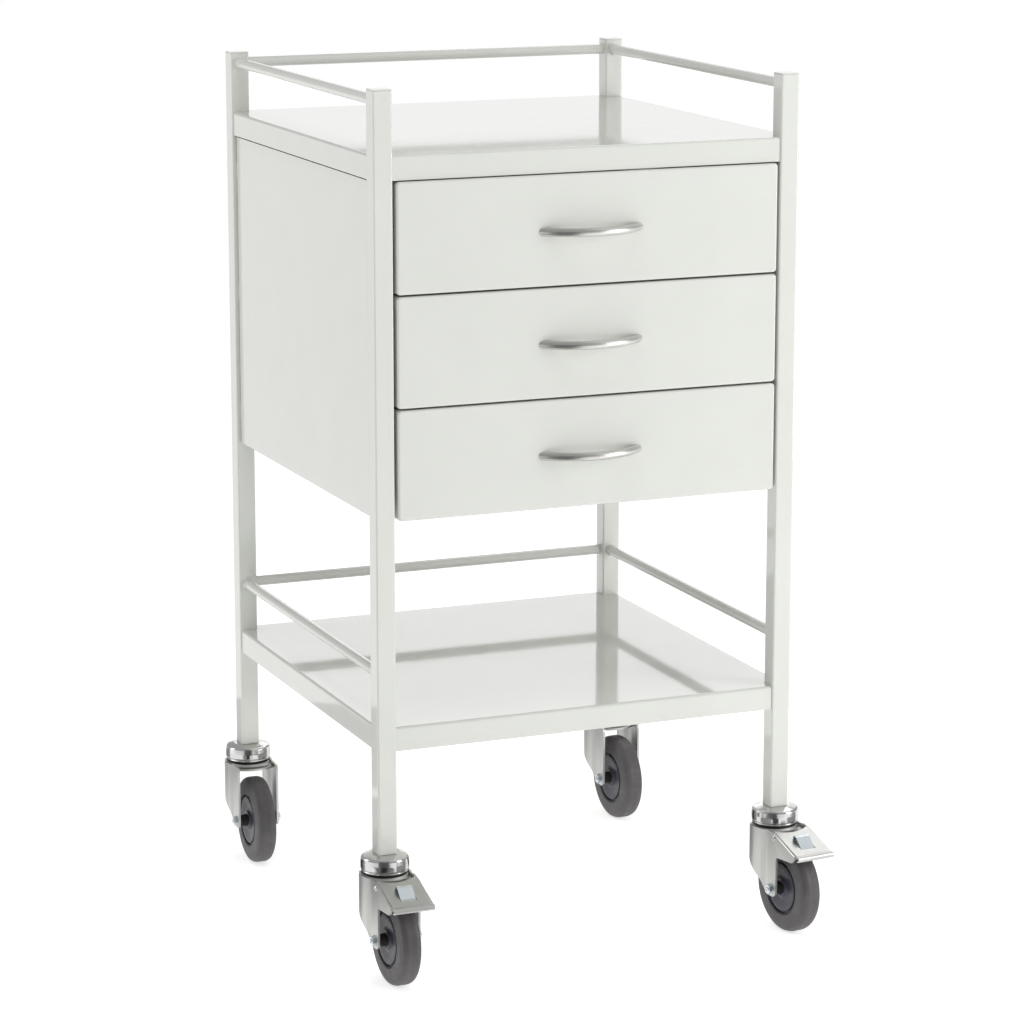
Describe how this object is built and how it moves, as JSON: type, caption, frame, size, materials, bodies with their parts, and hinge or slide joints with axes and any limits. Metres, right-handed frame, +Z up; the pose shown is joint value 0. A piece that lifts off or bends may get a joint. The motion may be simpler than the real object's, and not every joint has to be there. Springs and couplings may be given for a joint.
{
  "type": "rolling salon trolley",
  "caption": "Rolling salon trolley of square tube with guard-railed top tray, drawers with bow handles, open lower shelf and swivel casters with foot brakes at the front.",
  "frame": {"origin": "middle of the whole footprint on the floor, with the drawers shut and the casters trailing forward", "axes": "+X to the right as seen from the drawers' side, +Y to the back, +Z up; the drawers open towards -Y"},
  "size_m": [0.5432, 0.5968, 0.979],
  "materials": {
    "white_powder_coat": "glossy powder coat with slight orange peel",
    "grey_drawer_paint": "satin powder coat inside the drawers",
    "satin_nickel": "satin nickel plate",
    "fork_zinc": "satin zinc plate on pressed steel",
    "zinc_steel": "bright zinc plate",
    "chrome": "polished chrome",
    "grey_rubber": "matt grey non-marking rubber",
    "hub_plastic": "dark blue-grey moulded plastic",
    "black_rubber": "matt black rubber"
  },
  "bodies": {
    "frame": {"post_front_left": "white_powder_coat", "post_front_right": "white_powder_coat", "post_back_left": "white_powder_coat", "post_back_right": "white_powder_coat", "post_caps": "white_powder_coat", "upper_rail_back": "white_powder_coat", "upper_rail_left": "white_powder_coat", "upper_rail_right": "white_powder_coat", "lower_rail_back": "white_powder_coat", "lower_rail_left": "white_powder_coat", "lower_rail_right": "white_powder_coat", "top_tray": "white_powder_coat", "lower_shelf": "white_powder_coat", "side_panel_left": "white_powder_coat", "side_panel_right": "white_powder_coat", "back_panel": "white_powder_coat", "runner_brackets": "zinc_steel", "outer_runners": "zinc_steel", "caster_stems": "zinc_steel", "swivel_caps": "chrome", "swivel_seals": "black_rubber", "swivel_bearings": "zinc_steel"},
    "drawer_top": {"drawer_front_top": "white_powder_coat", "drawer_box_top": "grey_drawer_paint", "drawer_handle_top": "satin_nickel", "handle_screws_top": "zinc_steel", "inner_runners_top": "zinc_steel"},
    "runners_top": {"middle_runners_top": "zinc_steel"},
    "drawer_middle": {"drawer_front_middle": "white_powder_coat", "drawer_box_middle": "grey_drawer_paint", "drawer_handle_middle": "satin_nickel", "handle_screws_middle": "zinc_steel", "inner_runners_middle": "zinc_steel"},
    "runners_middle": {"middle_runners_middle": "zinc_steel"},
    "drawer_bottom": {"drawer_front_bottom": "white_powder_coat", "drawer_box_bottom": "grey_drawer_paint", "drawer_handle_bottom": "satin_nickel", "handle_screws_bottom": "zinc_steel", "inner_runners_bottom": "zinc_steel"},
    "runners_bottom": {"middle_runners_bottom": "zinc_steel"},
    "caster_front_left": {"fork_front_left": "fork_zinc", "axle_front_left": "zinc_steel", "pedal_pivots_front_left": "zinc_steel"},
    "wheel_front_left": {"tyre_front_left": "grey_rubber", "hub_front_left": "hub_plastic"},
    "pedal_front_left": {"brake_pedal_front_left": "fork_zinc"},
    "caster_front_right": {"fork_front_right": "fork_zinc", "axle_front_right": "zinc_steel", "pedal_pivots_front_right": "zinc_steel"},
    "wheel_front_right": {"tyre_front_right": "grey_rubber", "hub_front_right": "hub_plastic"},
    "pedal_front_right": {"brake_pedal_front_right": "fork_zinc"},
    "caster_back_left": {"fork_back_left": "fork_zinc", "axle_back_left": "zinc_steel"},
    "wheel_back_left": {"tyre_back_left": "grey_rubber", "hub_back_left": "hub_plastic"},
    "caster_back_right": {"fork_back_right": "fork_zinc", "axle_back_right": "zinc_steel"},
    "wheel_back_right": {"tyre_back_right": "grey_rubber", "hub_back_right": "hub_plastic"}
  },
  "joints": [
    {"name": "drawer_top_slide", "type": "slide", "parent": "frame", "child": "drawer_top", "axis": [0, -1, 0], "range_m": [0, 0.36]},
    {"name": "runners_top_slide", "type": "slide", "parent": "frame", "child": "runners_top", "axis": [0, -1, 0], "range_m": [0, 0.18]},
    {"name": "drawer_middle_slide", "type": "slide", "parent": "frame", "child": "drawer_middle", "axis": [0, -1, 0], "range_m": [0, 0.36]},
    {"name": "runners_middle_slide", "type": "slide", "parent": "frame", "child": "runners_middle", "axis": [0, -1, 0], "range_m": [0, 0.18]},
    {"name": "drawer_bottom_slide", "type": "slide", "parent": "frame", "child": "drawer_bottom", "axis": [0, -1, 0], "range_m": [0, 0.36]},
    {"name": "runners_bottom_slide", "type": "slide", "parent": "frame", "child": "runners_bottom", "axis": [0, -1, 0], "range_m": [0, 0.18]},
    {"name": "caster_front_left_swivel", "type": "hinge", "parent": "frame", "child": "caster_front_left", "pos_m": [-0.239, -0.208, 0.119], "axis": [0, 0, 1], "continuous": true},
    {"name": "wheel_front_left_spin", "type": "hinge", "parent": "caster_front_left", "child": "wheel_front_left", "pos_m": [-0.23844, -0.24, 0.052], "axis": [0.9998, 0.0175, 0], "continuous": true},
    {"name": "pedal_front_left_press", "type": "hinge", "parent": "caster_front_left", "child": "pedal_front_left", "pos_m": [-0.23834, -0.24599, 0.1145], "axis": [0.9998, 0.0175, 0], "range_deg": [0, 12]},
    {"name": "caster_front_right_swivel", "type": "hinge", "parent": "frame", "child": "caster_front_right", "pos_m": [0.239, -0.208, 0.119], "axis": [0, 0, 1], "continuous": true},
    {"name": "wheel_front_right_spin", "type": "hinge", "parent": "caster_front_right", "child": "wheel_front_right", "pos_m": [0.24234, -0.23982, 0.052], "axis": [0.9945, 0.1045, 0], "continuous": true},
    {"name": "pedal_front_right_press", "type": "hinge", "parent": "caster_front_right", "child": "pedal_front_right", "pos_m": [0.24297, -0.24579, 0.1145], "axis": [0.9945, 0.1045, 0], "range_deg": [0, 12]},
    {"name": "caster_back_left_swivel", "type": "hinge", "parent": "frame", "child": "caster_back_left", "pos_m": [-0.239, 0.27, 0.119], "axis": [0, 0, 1], "continuous": true},
    {"name": "wheel_back_left_spin", "type": "hinge", "parent": "caster_back_left", "child": "wheel_back_left", "pos_m": [-0.24012, 0.23802, 0.052], "axis": [0.9994, -0.0349, 0], "continuous": true},
    {"name": "caster_back_right_swivel", "type": "hinge", "parent": "frame", "child": "caster_back_right", "pos_m": [0.239, 0.27, 0.119], "axis": [0, 0, 1], "continuous": true},
    {"name": "wheel_back_right_spin", "type": "hinge", "parent": "caster_back_right", "child": "wheel_back_right", "pos_m": [0.24012, 0.23802, 0.052], "axis": [0.9994, 0.0349, 0], "continuous": true}
  ],
  "couplings": [
    {"joint": "runners_top_slide", "follows": "drawer_top_slide", "ratio": 0.5},
    {"joint": "runners_middle_slide", "follows": "drawer_middle_slide", "ratio": 0.5},
    {"joint": "runners_bottom_slide", "follows": "drawer_bottom_slide", "ratio": 0.5}
  ]
}
